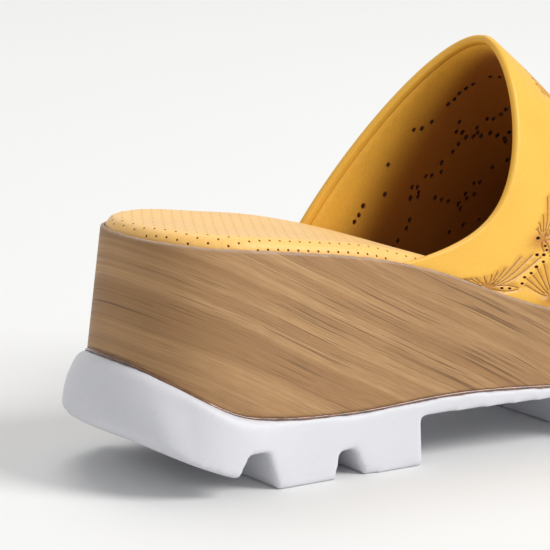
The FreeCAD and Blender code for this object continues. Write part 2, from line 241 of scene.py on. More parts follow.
def link(tree, source, target):
    tree.links.new(source, target)


def mathNode(tree, operation, first, second):
    node = addNode(tree, "ShaderNodeMath", operation=operation)
    for socket, value in zip(node.inputs, (first, second)):
        if isinstance(value, (int, float)):
            socket.default_value = value
        else:
            link(tree, value, socket)
    return node.outputs[0]


def scaleAndAdd(tree, value, scale, plus):
    return mathNode(tree, "ADD", mathNode(tree, "MULTIPLY", value, scale), plus)


def mixColour(tree, factor, first, second, blend="MIX"):
    node = addNode(tree, "ShaderNodeMix", data_type="RGBA", blend_type=blend)
    for socket, value in ((node.inputs[0], factor), (node.inputs[6], first), (node.inputs[7], second)):
        if isinstance(value, (int, float)):
            socket.default_value = value
        elif isinstance(value, tuple):
            socket.default_value = (*value, 1)
        else:
            link(tree, value, socket)
    return node.outputs[2]


def noiseMask(tree, coordinates, scale, low, high, detail=4.0, roughness=0.55):
    node = placeGroup(tree, maskGroup, Place=coordinates, Scale=scale, Low=low, High=high,
                      Detail=detail, Roughness=roughness)
    return node.outputs["Mask"]


def scaledCoordinates(tree, coordinates, scale, rotation=(0, 0, 0)):
    mapping = addNode(tree, "ShaderNodeMapping", vector_type="POINT")
    mapping.inputs["Rotation"].default_value = rotation
    mapping.inputs["Scale"].default_value = scale
    link(tree, coordinates, mapping.inputs["Vector"])
    return mapping.outputs[0]


def newGroup(name, inputs, outputs):
    group = bpy.data.node_groups.new(name, "ShaderNodeTree")
    for label, kind, value in inputs:
        socket = group.interface.new_socket(label, in_out="INPUT", socket_type=kind)
        if value is not None:
            socket.default_value = value
    for label, kind in outputs:
        group.interface.new_socket(label, in_out="OUTPUT", socket_type=kind)
    return group, group.nodes.new("NodeGroupInput"), group.nodes.new("NodeGroupOutput")


def placeGroup(tree, group, **values):
    node = tree.nodes.new("ShaderNodeGroup")
    node.node_tree = group
    for key, value in values.items():
        socket = node.inputs[key]
        if hasattr(value, "links"):
            link(tree, value, socket)
        elif isinstance(value, tuple) and len(value) == 3 and socket.type == "RGBA":
            socket.default_value = (*value, 1)
        else:
            socket.default_value = value
    return node


def hideGrain():
    # fine leather grain: a height and a mask that is high in the creases
    group, given, result = newGroup(
        "hideGrain",
        (("Scale", "NodeSocketFloat", 900.0), ("Softness", "NodeSocketFloat", 0.5)),
        (("Height", "NodeSocketFloat"), ("Crease", "NodeSocketFloat")))
    place = addNode(group, "ShaderNodeTexCoord")
    warp = addNode(group, "ShaderNodeTexNoise", Scale=300.0, Detail=2.0)
    link(group, place.outputs["Object"], warp.inputs["Vector"])
    bent = addNode(group, "ShaderNodeVectorMath", operation="SCALE")
    link(group, warp.outputs["Color"], bent.inputs[0])
    bent.inputs["Scale"].default_value = 0.0015
    moved = addNode(group, "ShaderNodeVectorMath", operation="ADD")
    link(group, place.outputs["Object"], moved.inputs[0])
    link(group, bent.outputs[0], moved.inputs[1])
    cells = addNode(group, "ShaderNodeTexVoronoi", feature="SMOOTH_F1")
    link(group, moved.outputs[0], cells.inputs["Vector"])
    link(group, given.outputs["Scale"], cells.inputs["Scale"])
    link(group, given.outputs["Softness"], cells.inputs["Smoothness"])
    fine = addNode(group, "ShaderNodeTexNoise", Detail=5.0)
    link(group, moved.outputs[0], fine.inputs["Vector"])
    link(group, mathNode(group, "MULTIPLY", given.outputs["Scale"], 1.9), fine.inputs["Scale"])
    dome = mathNode(group, "SUBTRACT", 1.0, cells.outputs["Distance"])
    height = mathNode(group, "ADD", dome, mathNode(group, "MULTIPLY", fine.outputs[0], 0.45))
    crease = mathNode(group, "SUBTRACT", 1.25, height)
    link(group, height, result.inputs["Height"])
    link(group, crease, result.inputs["Crease"])
    return group


def toneDrift():
    # slow change of tone over a surface, as dye, moulding and handling leave it
    group, given, result = newGroup(
        "toneDrift",
        (("Colour", "NodeSocketColor", (0.5, 0.5, 0.5, 1)), ("Size", "NodeSocketFloat", 40.0),
         ("Darker", "NodeSocketFloat", 0.85), ("Amount", "NodeSocketFloat", 0.5)),
        (("Colour", "NodeSocketColor"), ("Mask", "NodeSocketFloat")))
    place = addNode(group, "ShaderNodeTexCoord")
    cloud = addNode(group, "ShaderNodeTexNoise", Detail=4.0, Roughness=0.6)
    link(group, place.outputs["Object"], cloud.inputs["Vector"])
    link(group, given.outputs["Size"], cloud.inputs["Scale"])
    spread = addNode(group, "ShaderNodeMapRange", interpolation_type="SMOOTHSTEP")
    spread.inputs["From Min"].default_value = 0.36
    spread.inputs["From Max"].default_value = 0.66
    link(group, cloud.outputs[0], spread.inputs["Value"])
    mask = mathNode(group, "MULTIPLY", spread.outputs["Result"], given.outputs["Amount"])
    shade = addNode(group, "ShaderNodeVectorMath", operation="SCALE")
    link(group, given.outputs["Colour"], shade.inputs[0])
    link(group, given.outputs["Darker"], shade.inputs["Scale"])
    toned = mixColour(group, mask, given.outputs["Colour"], shade.outputs[0])
    link(group, toned, result.inputs["Colour"])
    link(group, mask, result.inputs["Mask"])
    return group


def spreadNoise():
    # noise spread over low to high of its range, as a 0 to 1 mask
    group, given, result = newGroup(
        "spreadNoise",
        (("Place", "NodeSocketVector", None), ("Scale", "NodeSocketFloat", 1.0),
         ("Low", "NodeSocketFloat", 0.3), ("High", "NodeSocketFloat", 0.6),
         ("Detail", "NodeSocketFloat", 4.0), ("Roughness", "NodeSocketFloat", 0.55)),
        (("Mask", "NodeSocketFloat"),))
    texture = addNode(group, "ShaderNodeTexNoise")
    spread = addNode(group, "ShaderNodeMapRange", interpolation_type="SMOOTHSTEP")
    for label, target in (("Place", texture.inputs["Vector"]), ("Scale", texture.inputs["Scale"]),
                          ("Detail", texture.inputs["Detail"]),
                          ("Roughness", texture.inputs["Roughness"]),
                          ("Low", spread.inputs["From Min"]), ("High", spread.inputs["From Max"])):
        link(group, given.outputs[label], target)
    link(group, texture.outputs[0], spread.inputs["Value"])
    link(group, spread.outputs["Result"], result.inputs["Mask"])
    return group


grainGroup = hideGrain()
toneGroup = toneDrift()
maskGroup = spreadNoise()


def newMaterial(name):
    material = bpy.data.materials.new(name)
    material.use_nodes = True
    tree = material.node_tree
    return material, tree, tree.nodes["Principled BSDF"]


def bumpNormal(tree, shader, height, strength, distance):
    bump = addNode(tree, "ShaderNodeBump")
    bump.inputs["Strength"].default_value = strength
    bump.inputs["Distance"].default_value = distance
    link(tree, height, bump.inputs["Height"])
    link(tree, bump.outputs[0], shader.inputs["Normal"])


def attributeOf(tree, name):
    return addNode(tree, "ShaderNodeAttribute", attribute_name=name).outputs["Fac"]


def dyedLeather(name, look):
    material, tree, shader = newMaterial(name)
    grain = placeGroup(tree, grainGroup, Scale=look["grainScale"], Softness=0.6)
    tone = placeGroup(tree, toneGroup, Colour=look["colour"], Size=look["toneSize"],
                      Darker=look["darker"], Amount=0.8)
    crease = mathNode(tree, "MULTIPLY", grain.outputs["Crease"], look["creaseTint"])
    colour = mixColour(tree, crease, tone.outputs["Colour"], look["creaseColour"])
    # painted shade: where a look gives a shade colour, the leather is darkened towards it by the painted
    # shade attribute
    if look.get("paintedShadeColour"):
        colour = mixColour(tree, attributeOf(tree, "paintedShade"), colour, look["paintedShadeColour"])
    # the burn mask is real scorching on the engraved upper and lining, and painted shade in the footbed's
    # shallow perforation pits
    burnAndPitShade = attributeOf(tree, "burnAndPitShade")
    markBreakup = noiseMask(tree, addNode(tree, "ShaderNodeTexCoord").outputs["Object"], 1400.0, 0.25, 0.6)
    burnAndPitShade = mathNode(tree, "MULTIPLY", burnAndPitShade, scaleAndAdd(tree, markBreakup, 0.35, 0.75))
    scorchAndPitShade = addNode(tree, "ShaderNodeValToRGB")
    scorchAndPitShade.color_ramp.elements[0].color = (1, 1, 1, 1)
    scorchAndPitShade.color_ramp.elements[1].position = 0.9
    scorchAndPitShade.color_ramp.elements[1].color = (*look["burntAndPitShade"], 1)
    toastedAndPitShade = scorchAndPitShade.color_ramp.elements.new(0.35)
    toastedAndPitShade.color = (*look["toastedAndPitShade"], 1)
    link(tree, burnAndPitShade, scorchAndPitShade.inputs[0])
    colour = mixColour(tree, 1.0, colour, scorchAndPitShade.outputs[0], "MULTIPLY")
    link(tree, colour, shader.inputs["Base Color"])
    rough = addNode(tree, "ShaderNodeMapRange")
    rough.inputs["To Min"].default_value = look["roughness"] - 0.06
    rough.inputs["To Max"].default_value = look["roughness"] + 0.14
    link(tree, grain.outputs["Crease"], rough.inputs["Value"])
    link(tree, rough.outputs["Result"], shader.inputs["Roughness"])
    shader.inputs["Specular IOR Level"].default_value = look["gloss"]
    shader.inputs["Sheen Weight"].default_value = look["sheen"]
    shader.inputs["Sheen Roughness"].default_value = 0.5
    shader.inputs["Subsurface Weight"].default_value = look["glow"]
    shader.inputs["Subsurface Radius"].default_value = (0.0016, 0.0008, 0.0003)
    shader.inputs["Subsurface Scale"].default_value = 1.0
    bumpNormal(tree, shader, grain.outputs["Height"], look["bump"], 0.00012)
    return material


def insidePolygon(points, polygon):
    inside = np.zeros(len(points), bool)
    x, y = points[:, 0], points[:, 1]
    for (x1, y1), (x2, y2) in zip(polygon, np.roll(polygon, -1, 0)):
        crosses = (y1 > y) != (y2 > y)
        if crosses.any() and y1 != y2:
            inside ^= crosses & (x < (x2 - x1) * (y - y1) / (y2 - y1) + x1)
    return inside


def evenNet(polygon, spacing, keepClear, clearance):
    # staggered points inside a polygon, clear of the given ones
    low, high = polygon.min(0), polygon.max(0)
    rowGap = spacing * math.sqrt(3) / 2
    points = []
    for row, y in enumerate(np.arange(low[1], high[1], rowGap)):
        for x in np.arange(low[0] + (row % 2) * spacing / 2, high[0], spacing):
            points.append((x, y))
    points = np.array(points)
    points = points[insidePolygon(points, polygon)]
    tree = KDTree(len(keepClear))
    for i, (x, y) in enumerate(keepClear):
        tree.insert((x, y, 0), i)
    tree.balance()
    return points[[tree.find((x, y, 0))[2] > clearance for x, y in points]]


def fillSheet(outline, holes, lines, points, spacing):
    # triangles inside an outline: holes are rings left open, lines are runs of points joined up
    runs = [outline] + holes
    fixed = np.concatenate(runs + lines + ([points] if len(points) else []))
    net = evenNet(outline, spacing, fixed, spacing * 0.55)
    everything = np.concatenate((fixed, net))
    edges = []
    start = 0
    for run in runs:
        edges += [(start + i, start + (i + 1) % len(run)) for i in range(len(run))]
        start += len(run)
    for line in lines:
        edges += [(start + i, start + i + 1) for i in range(len(line) - 1)]
        start += len(line)
    filled = delaunay_2d_cdt([Vector(p) for p in everything], edges, [], 0, 1e-6, True)
    flat = np.array([v[:] for v in filled[0]])
    faces = np.array(filled[2])
    newPlace = np.full(len(everything), -1)
    for i, origins in enumerate(filled[3]):
        newPlace[origins] = i
    middle = flat[faces].mean(1)
    keep = insidePolygon(middle, outline)
    if holes:
        centres = KDTree(len(holes))
        for i, hole in enumerate(holes):
            centres.insert((*hole.mean(0), 0), i)
        centres.balance()
        for i in np.nonzero(keep)[0]:
            spot, index, distance = centres.find((*middle[i], 0))
            reach = np.linalg.norm(holes[index][0] - holes[index].mean(0))
            keep[i] = distance > reach * 0.9 or not insidePolygon(middle[i:i + 1], holes[index])[0]
    faces = faces[keep]
    loops = []
    start = 0
    for run in runs:
        loops.append(newPlace[start:start + len(run)])
        start += len(run)
    return flat, faces, loops


# The upper: arches from the toe (0) to the topline (1).
upper = {
    # station, base x outer and inner, crown x y z, fullness outer and inner,
    # upright, sweep outer and inner
    "arches": (
        (0.00, 246.5, 246.5, 248.4, 7.0, 38.3, 2.20, 2.20, 1.00, 1.00, 1.00),
        (0.06, 244.0, 244.0, 248.2, 7.0, 47.0, 2.20, 2.20, 1.00, 1.00, 1.00),
        (0.13, 236.0, 236.5, 244.5, 7.0, 58.0, 2.30, 2.30, 1.00, 1.00, 1.00),
        (0.22, 218.0, 219.0, 233.0, 7.0, 66.0, 2.40, 2.40, 1.00, 1.00, 1.00),
        (0.40, 180.0, 183.0, 204.0, 7.0, 72.5, 2.30, 2.45, 0.90, 0.98, 1.08),
        (0.60, 138.0, 141.0, 176.0, 7.3, 84.5, 2.05, 2.75, 0.70, 0.92, 1.16),
        (0.80, 103.0, 109.0, 158.0, 7.4, 103.5, 1.85, 3.10, 0.45, 0.84, 1.28),
        (1.00, 69.0, 78.0, 131.9, -0.6, 123.2, 1.75, 2.35, 0.29, 0.51, 1.10),
    ),
    "upturn": 4,
    "tuck": 2.8,
    "leather": 1.3,
    "liningOutside": 1.45,
    "liningInside": 2.6,
    "edgeRadius": 1.32,
    "foldReturn": 3.1,      # width of leather turned over the topline
    "liningStart": 3.22,
    "sheetGap": 0.15,       # how far the inner sheet stops short of the fold
    "stationLength": 168.0,
    "netSpacing": 1.9,
    "colour": (0.83, 0.475, 0.06),
    "creaseColour": (0.70, 0.31, 0.04),
    "creaseTint": 0.25,
    "darker": 0.9,
    "toneSize": 28.0,
    "grainScale": 1500.0,
    "roughness": 0.36,
    "gloss": 0.42,
    "sheen": 0.0,
    "glow": 0.12,
    "bump": 0.30,
    "burntAndPitShade": (0.10, 0.045, 0.03),
    "toastedAndPitShade": (0.62, 0.47, 0.36),
}
archColumns = [curveThrough([(row[0], row[k]) for row in upper["arches"]])
               for k in range(1, len(upper["arches"][0]))]


def archPoint(v, p):
    # outer face of the upper; p runs from -1 (outer side) over the crown to 1 (inner side)
    v, p = np.broadcast_arrays(np.asarray(v, float), np.asarray(p, float))
    (outerBase, innerBase, crownX, crownY, crownZ, outerFull, innerFull,
     upright, outerSweep, innerSweep) = [column(v) for column in archColumns]
    rise = np.sin((1 - abs(p)) * math.pi / 2)
    outer = p < 0
    baseX = np.where(outer, outerBase, innerBase)
    full = np.where(outer, outerFull, innerFull)
    forward = rise ** np.where(outer, outerSweep, innerSweep)
    upward = np.where(outer, upright * rise + (1 - upright) * rise ** upper["upturn"], rise)
    inward = 1 - np.clip(1 - upward ** full, 0, 1) ** (1 / full)
    baseZ = rimHeight(baseX) - upper["tuck"]
    gap = lastShape["fitGap"]
    side = np.where(outer, -1, 1)
    reach = np.where(outer, halfWidth(baseX, -1), halfWidth(baseX, 1)) + layerInset(baseX, gap, gap)
    baseY = centreLine(baseX) + side * reach
    return np.stack((baseX + (crownX - baseX) * forward, baseY + (crownY - baseY) * inward,
                     baseZ + (crownZ - baseZ) * upward), -1)


def archNormal(v, p):
    step = 0.004
    lowV, highV = np.clip(v - step, 0, 1), np.clip(v + step, 0, 1)
    lowP, highP = np.clip(p - step, -1, 1), np.clip(p + step, -1, 1)
    alongV = archPoint(highV, p) - archPoint(lowV, p)
    alongP = archPoint(v, highP) - archPoint(v, lowP)
    normal = np.cross(alongP, alongV)
    return normal / np.linalg.norm(normal, axis=-1)[..., None]


# Arc length along each arch, so that the flat pattern keeps its true width.
stationGrid = np.linspace(0, 1, 61)
sideGrid = np.linspace(0, 1, 121)


def sideTables(side):
    lengths = []
    turns = []
    for station in stationGrid:
        points = archPoint(station, side * sideGrid)
        along = np.concatenate(([0], np.cumsum(np.linalg.norm(np.diff(points, axis=0), axis=1))))
        lengths.append(along[-1])
        turns.append(np.interp(sideGrid, along / along[-1], sideGrid))
    return np.array(lengths), np.array(turns)


sideLengths = {}
sideTurns = {}
for side in (-1, 1):
    sideLengths[side], sideTurns[side] = sideTables(side)


def flatToArch(flat):
    # flat pattern (along, across) in millimetres to (v, p)
    v = np.clip(flat[:, 0] / upper["stationLength"], 0, 1)
    p = np.zeros(len(flat))
    for side in (-1, 1):
        chosen = flat[:, 1] * side >= 0
        length = np.interp(v[chosen], stationGrid, sideLengths[side])
        share = np.clip(abs(flat[chosen, 1]) / length, 0, 1)
        row = v[chosen] * (len(stationGrid) - 1)
        column = share * (len(sideGrid) - 1)
        r0 = np.clip(row.astype(int), 0, len(stationGrid) - 2)
        c0 = np.clip(column.astype(int), 0, len(sideGrid) - 2)
        fr, fc = row - r0, column - c0
        table = sideTurns[side]
        turned = ((table[r0, c0] * (1 - fc) + table[r0, c0 + 1] * fc) * (1 - fr)
                  + (table[r0 + 1, c0] * (1 - fc) + table[r0 + 1, c0 + 1] * fc) * fr)
        p[chosen] = side * turned
    return v, p


def archToFlat(v, p):
    flat = np.empty((len(v), 2))
    flat[:, 0] = v * upper["stationLength"]
    for side in (-1, 1):
        chosen = p * side >= 0
        for i in np.nonzero(chosen)[0]:
            row = v[i] * (len(stationGrid) - 1)
            r0 = min(int(row), len(stationGrid) - 2)
            turns = sideTurns[side][r0] * (1 - row + r0) + sideTurns[side][r0 + 1] * (row - r0)
            share = np.interp(abs(p[i]), turns, sideGrid)
            flat[i, 1] = side * share * np.interp(v[i], stationGrid, sideLengths[side])
    return flat


def toplineSpeed(p):
    # millimetres of leather for the last unit of station, along each line of the pattern
    step = 0.02
    return np.linalg.norm(archPoint(1.0, p) - archPoint(1.0 - step, p), axis=-1) / step


toplineP = np.linspace(-1, 1, 241)


def upperOutline(edgeInset):
    # closed outline of the flat pattern, its topline edge moved in
    topV = 1 - edgeInset / toplineSpeed(toplineP)
    top = archToFlat(topV, toplineP)
    sideStations = np.linspace(0, 1, 150)
    runs = []
    for side in (-1, 1):
        topStation = topV[0] if side < 0 else topV[-1]
        v = sideStations[1:-1] * topStation
        across = side * np.interp(v, stationGrid, sideLengths[side])
        runs.append(np.stack((v * upper["stationLength"], across), 1))
    toeCount = 25
    toeSpan = np.linspace(sideLengths[1][0], -sideLengths[-1][0], toeCount)
    toe = np.stack((np.zeros(toeCount), toeSpan), 1)
    outline = np.concatenate((top, runs[1][::-1], toe, runs[0]))
    return outline


engraving = {
    "seed": 11,
    "plainBand": 15.0,
    "feetMargin": 4.8,
    "tierGap": 27.5,        # between tiers of fans, from the wood up to the crown
    "firstFan": 134.0,
    "fanGap": 20.5,
    "rays": 12,
    "fanFrom": -14.0,       # degrees from the line towards the topline, up towards the crown
    "fanOpening": 112.0,
    "rayStart": 2.6,
    "rayLength": 13.5,
    "rayGrowth": 7.5,
    "rayBend": 0.85,
    "lineHalfWidth": 0.27,
    "lineDepth": 0.32,
    "dotRadius": 0.50,
    "dotSides": 10,
    "stemDots": ((14.6, 100.0), (17.6, 97.0), (20.6, 92.0), (23.6, 86.0), (26.6, 79.0), (29.4, 72.0)),
    "sampleStep": 1.0,
    "scorchReach": 4.6,
}


def patternPlan():
    # leaf fans with dotted tips and dotted stems: lines, dots and fan feet in flat millimetres
    draw = random.Random(engraving["seed"])
    lines, dots, feet = [], [], []
    taken = {}

    def crowded(point, reach, owner):
        cell = (int(point[0] // 2), int(point[1] // 2))
        for i in range(cell[0] - 1, cell[0] + 2):
            for j in range(cell[1] - 1, cell[1] + 2):
                for x, y, radius, other in taken.get((i, j), ()):
                    if other != owner and math.hypot(point[0] - x, point[1] - y) < reach + radius:
                        return True
        return False

    def occupy(point, radius, owner):
        taken.setdefault((int(point[0] // 2), int(point[1] // 2)), []).append((*point, radius, owner))

    def allowed(point):
        along, across = point
        if not 7 < along < upper["stationLength"]:
            return False
        v = along / upper["stationLength"]
        side = 1 if across >= 0 else -1
        if abs(across) > np.interp(v, stationGrid, sideLengths[side]) - engraving["feetMargin"] + 1.2:
            return False
        p = flatToArch(np.array([point]))[1][0]
        return (1 - v) * float(toplineSpeed(np.array(p))) > engraving["plainBand"]

    def place(foot, side, reach, angle):
        # a point seen from a fan's foot: angle from the way to the topline up to the crown
        return foot[0] + reach * math.cos(angle), foot[1] - side * reach * math.sin(angle)

    def addLine(points, owner):
        run = []
        for point in points:
            if not allowed(point) or crowded(point, 0.55, owner):
                break
            run.append(point)
        if len(run) < 4:
            return None
        for point in run:
            occupy(point, engraving["lineHalfWidth"], owner)
        lines.append(np.array(run))
        return run

    def addDot(point, scale):
        radius = engraving["dotRadius"] * scale
        if allowed(point) and not crowded(point, radius + 0.4, None):
            dots.append((point, radius))
            occupy(point, radius + 0.1, "dot")

    def fan(foot, side, size, owner):
        feet.append(foot)
        for k in range(engraving["rays"]):
            share = k / (engraving["rays"] - 1)
            angle = math.radians(engraving["fanFrom"] + engraving["fanOpening"] * share)
            length = (size * (engraving["rayLength"] + engraving["rayGrowth"] * share)
                      * draw.uniform(0.92, 1.06))
            start = engraving["rayStart"] * (1 + 0.5 * (k % 2))
            run = addLine([place(foot, side, reach, angle - engraving["rayBend"] * (0.4 - share)
                                 * (1 - reach / length) ** 2)
                           for reach in np.arange(start, length, engraving["sampleStep"])], owner)
            if run and len(run) > 6:
                (x1, y1), (x2, y2) = run[-2:]
                addDot((x2 + 1.25 * (x2 - x1), y2 + 1.25 * (y2 - y1)), draw.choice((0.8, 1.0, 1.3)))

    def leaf(foot, side, angle, length, owner):
        # two bowed lines that meet in a point, with two dots between them
        for bow in (-1, 1):
            addLine([place(foot, side, t * length, angle + bow * 0.5 * (1 - t))
                     for t in np.arange(0.2, 1.0, engraving["sampleStep"] / length)], owner)
        for t in (0.42, 0.66):
            addDot(place(foot, side, t * length, angle), 0.75)

    plan = []
    for tier in range(4):
        first = engraving["firstFan"] + 3 * (tier % 2)
        for number, along in enumerate(np.arange(first, 8.0, -engraving["fanGap"])):
            for side in (-1, 1):
                length = np.interp(along / upper["stationLength"], stationGrid, sideLengths[side])
                across = length - engraving["feetMargin"] - engraving["tierGap"] * tier - 3.5 * (number % 2)
                if across > 6:
                    plan.append(((float(along), side * float(across)), side))
    owner = 0
    for foot, side in plan:
        owner += 1
        fan(foot, side, draw.uniform(0.92, 1.04), owner)
        leaf(foot, side, math.radians(205), 9.0, owner)
        leaf(foot, side, math.radians(140), 11.0, owner)
    for foot, side in plan:
        for reach, angle in engraving["stemDots"]:
            addDot(place(foot, side, reach, math.radians(angle)), draw.choice((0.8, 1.0, 1.1)))
    return lines, dots, feet


def dotRing(centre, radius, turn=0.0):
    # a ring that is round on the curved upper
    step = 0.4
    corners = np.array((centre, (centre[0] + step, centre[1]), (centre[0], centre[1] + step)))
    here, ahead, aside = archPoint(*flatToArch(corners))
    stretchAlong = np.linalg.norm(ahead - here) / step
    stretchAcross = np.linalg.norm(aside - here) / step
    angle = np.arange(engraving["dotSides"]) * 2 * math.pi / engraving["dotSides"] + turn
    return np.stack((centre[0] + radius * np.cos(angle) / stretchAlong,
                     centre[1] + radius * np.sin(angle) / stretchAcross), 1)


def sidewaysRun(line, offset):
    along = np.gradient(line, axis=0)
    along /= np.linalg.norm(along, axis=1)[:, None]
    return line + offset * np.stack((-along[:, 1], along[:, 0]), 1)


def nearestDistance(points, targets):
    tree = KDTree(len(targets))
    for i, (x, y) in enumerate(targets):
        tree.insert((x, y, 0), i)
    tree.balance()
    return np.array([tree.find((x, y, 0))[2] for x, y in points])


patternLines, patternDots, patternFeet = patternPlan()
holeRings = [dotRing(centre, radius) for centre, radius in patternDots]
liningRings = [dotRing(centre, radius + 0.4) for centre, radius in patternDots]
print("pattern:", len(patternLines), "lines,", len(patternDots), "holes")


def closeSheets(outer, inner, outerLoops, innerLoops, outerFaces, innerFaces, rim=()):
    # one closed body of two sheets: walls in the holes, and a rim between the outlines
    points = [outer, inner] + [np.asarray(r) for r in rim]
    starts = np.cumsum([0] + [len(p) for p in points])
    faces = [tuple(f) for f in outerFaces] + [tuple(f[::-1] + starts[1]) for f in innerFaces]
    for a, b in zip(outerLoops[1:], innerLoops[1:]):
        for i in range(len(a)):
            j = (i + 1) % len(a)
            faces.append((a[i], a[j], b[j] + starts[1], b[i] + starts[1]))
    chain = [outerLoops[0]] + [np.arange(len(r)) + starts[2 + k] for k, r in enumerate(rim)]
    chain.append(innerLoops[0] + starts[1])
    for a, b in zip(chain, chain[1:]):
        for i in range(len(a)):
            j = (i + 1) % len(a)
            faces.append((a[j], a[i], b[i], b[j]))
    return np.concatenate(points), faces


def edgeRow(inFromEdge, depth, outlineRow):
    # one row of the rolled topline edge; the rest of the outline stays on its own line
    p = toplineP
    v = 1 - inFromEdge / toplineSpeed(p)
    top = archPoint(v, p) - archNormal(v, p) * depth
    vSide, pSide = flatToArch(outlineRow[len(toplineP):])
    pSide = np.where(abs(pSide) > 0.98, np.sign(pSide), pSide)
    rest = archPoint(vSide, pSide) - archNormal(vSide, pSide) * min(depth, upper["leather"])
    return np.concatenate((top, rest))


def makeUpperLeather():
    look = upper
    outline = upperOutline(look["edgeRadius"])
    halfLine = engraving["lineHalfWidth"]
    runs = []
    for line in patternLines:
        runs += [line, sidewaysRun(line, halfLine), sidewaysRun(line, -halfLine)]
    halo = np.concatenate([dotRing(centre, radius + 0.28, 0.3) for centre, radius in patternDots])
    flat, faces, loops = fillSheet(outline, holeRings, runs, halo, look["netSpacing"])
    middleDistance = nearestDistance(flat, np.concatenate(patternLines))
    onLine = np.clip(1 - np.maximum(middleDistance - 0.05, 0) / (halfLine * 1.02), 0, 1)
    v, p = flatToArch(flat)
    outer = archPoint(v, p) - archNormal(v, p) * (onLine * engraving["lineDepth"])[:, None]

    holeDistance = nearestDistance(flat, np.concatenate(holeRings))
    footDistance = nearestDistance(flat, np.array(patternFeet))
    burnAndPitShade = np.maximum(onLine * 0.85, 1.0 * (holeDistance < 0.02))
    burnAndPitShade = np.maximum(burnAndPitShade, 0.3 * (holeDistance < 0.32))
    burnAndPitShade = np.maximum(burnAndPitShade, 0.42 * np.exp(-(footDistance / engraving["scorchReach"]) ** 2))

    innerOutline = upperOutline(look["foldReturn"] + look["sheetGap"])
    flatIn, facesIn, loopsIn = fillSheet(innerOutline, holeRings, [], np.empty((0, 2)), 4.0)
    vIn, pIn = flatToArch(flatIn)
    inner = archPoint(vIn, pIn) - archNormal(vIn, pIn) * look["leather"]

    radius = look["edgeRadius"]
    rim = []
    for turn in np.linspace(0, math.pi, 13)[1:]:
        rim.append(edgeRow(radius * (1 - math.sin(turn)), radius * (1 - math.cos(turn)), outline))
    rim.append(edgeRow(look["foldReturn"] - 0.3, 2 * radius, outline))
    rim.append(edgeRow(look["foldReturn"], 2 * radius - 0.25, outline))
    rim.append(edgeRow(look["foldReturn"] + 0.1, look["leather"] + 0.3, outline))
    points, faces = closeSheets(outer, inner, loops, loopsIn, faces, facesIn, rim)
    piece = newPiece("vampLeather", points, faces)
    holesIn = np.isin(np.arange(len(inner)), np.concatenate(loopsIn[1:]))
    rimBurn = np.zeros(len(points) - len(burnAndPitShade) - len(inner))
    paint(piece, "burnAndPitShade", np.concatenate((burnAndPitShade, holesIn * 1.0, rimBurn)))
    piece.data.materials.append(dyedLeather("engravedLeather", look))
    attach(piece, "root")
    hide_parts("upper_leather", "toe_puff", "vamp_interlining", "topline_tape")


lining = {
    "colour": (0.88, 0.50, 0.062),
    "creaseColour": (0.62, 0.28, 0.035),
    "paintedShadeColour": (0.30, 0.105, 0.012),     # painted shade: the colour it darkens to inside the vamp, where the shade falls
    "paintedShadeFrom": (3.0, 10.0),     # millimetres in from the topline where the painted shade starts, at the crown and at the wood
    # where the painted shade is full, at the crown and at the wood
    "paintedShadeTo": (13.0, 32.0),
    "edgeStep": 0.35,
    "creaseTint": 0.3,
    "darker": 0.86,
    "toneSize": 22.0,
    "grainScale": 1100.0,
    "roughness": 0.48,
    "gloss": 0.35,
    "sheen": 0.06,
    "glow": 0.10,
    "bump": 0.35,
    "burntAndPitShade": (0.16, 0.08, 0.05),
    "toastedAndPitShade": (0.7, 0.55, 0.42),
}


def makeLining():
    outline = upperOutline(upper["liningStart"])
    flat, faces, loops = fillSheet(outline, liningRings, [], np.empty((0, 2)), 3.0)
    v, p = flatToArch(flat)
    outer = archPoint(v, p) - archNormal(v, p) * upper["liningOutside"]
    innerOutline = upperOutline(upper["liningStart"] + lining["edgeStep"])
    halo = np.concatenate([dotRing(centre, radius + 0.7, 0.3) for centre, radius in patternDots])
    flatIn, facesIn, loopsIn = fillSheet(innerOutline, liningRings, [], halo, 3.0)
    vIn, pIn = flatToArch(flatIn)
    inner = archPoint(vIn, pIn) - archNormal(vIn, pIn) * upper["liningInside"]
    edge = archPoint(*flatToArch(outline)) - archNormal(*flatToArch(outline)) * (upper["liningInside"] - 0.3)
    points, faces = closeSheets(outer, inner, loops, loopsIn, faces, facesIn, [edge])
    piece = newPiece("vampLining", points, faces)
    onHole = np.zeros(len(points))
    onHole[np.concatenate(loops[1:])] = 0.5
    onHole[np.concatenate(loopsIn[1:]) + len(outer)] = 0.35
    paint(piece, "burnAndPitShade", onHole)
    # painted shade: the lining is darkened the further it lies in from the topline, standing in for the
    # shade inside the vamp
    every = np.concatenate((flat, flatIn, outline))
    sideways = flatToArch(every)[1]
    depth = (1 - every[:, 0] / upper["stationLength"]) * toplineSpeed(sideways)
    starts, ends = (np.interp(abs(sideways), (0, 1), lining[key]) for key in ("paintedShadeFrom", "paintedShadeTo"))
    paint(piece, "paintedShade", smoothStep((depth - starts) / (ends - starts)))
    piece.data.materials.append(dyedLeather("liningLeather", lining))
    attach(piece, "root")
    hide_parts("upper_lining")


makeUpperLeather()
print("upper leather made")
makeLining()
print("lining made")


